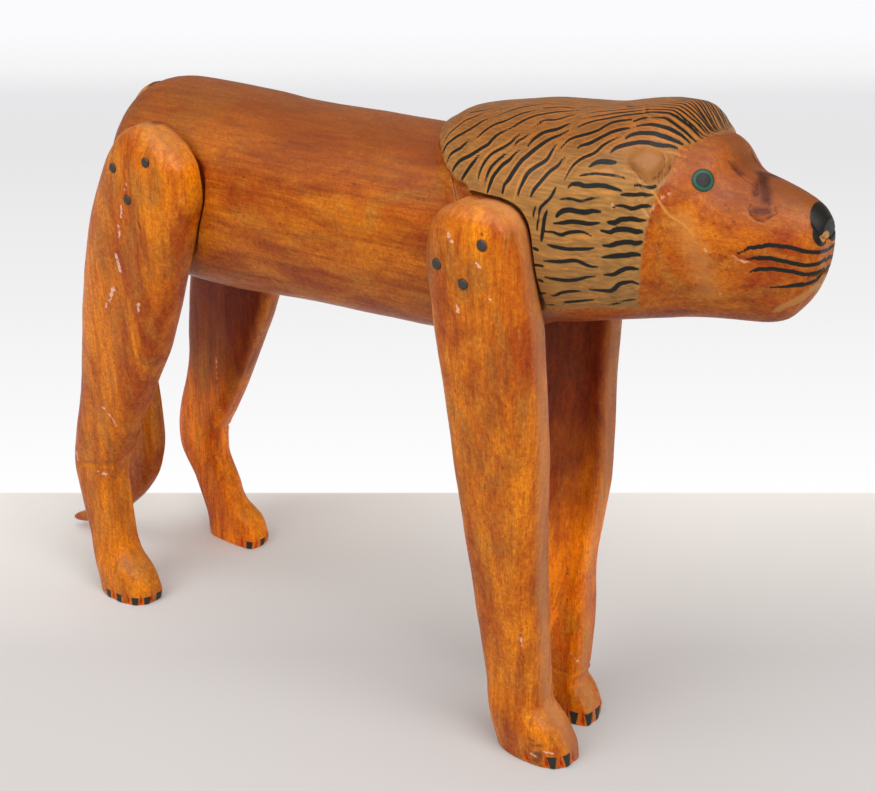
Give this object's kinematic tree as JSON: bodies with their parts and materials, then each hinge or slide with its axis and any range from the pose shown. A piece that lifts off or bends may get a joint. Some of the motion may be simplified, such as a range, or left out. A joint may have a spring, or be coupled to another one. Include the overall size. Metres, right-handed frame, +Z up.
{
  "type": "wooden lion figure",
  "caption": "Standing lion carved in wood, with a log-shaped body, a painted mane, nailed-on plank legs and a hanging tail.",
  "frame": {"origin": "middle of the box around the lion, on the floor that its feet stand on", "axes": "+Z up, +X towards the lion's nose, its right side towards -Y"},
  "size_m": [0.7754, 0.2038, 0.5156],
  "materials": {
    "stained_wood": "satin varnish over orange-brown stain",
    "stained_leg_wood": "satin varnish over orange-brown stain",
    "stained_tail_wood": "satin varnish over orange-brown stain",
    "dark_nail_iron": "dark oxide"
  },
  "bodies": {
    "root": {"body_with_head": "stained_wood", "leg_front_right": "stained_leg_wood", "leg_front_left": "stained_leg_wood", "leg_hind_right": "stained_leg_wood", "leg_hind_left": "stained_leg_wood", "tail": "stained_tail_wood", "nail_front_right_1": "dark_nail_iron", "nail_front_right_2": "dark_nail_iron", "nail_front_right_3": "dark_nail_iron", "nail_front_left_1": "dark_nail_iron", "nail_front_left_2": "dark_nail_iron", "nail_front_left_3": "dark_nail_iron", "nail_hind_right_1": "dark_nail_iron", "nail_hind_right_2": "dark_nail_iron", "nail_hind_right_3": "dark_nail_iron", "nail_hind_left_1": "dark_nail_iron", "nail_hind_left_2": "dark_nail_iron", "nail_hind_left_3": "dark_nail_iron", "nail_tail": "dark_nail_iron"}
  },
  "joints": []
}
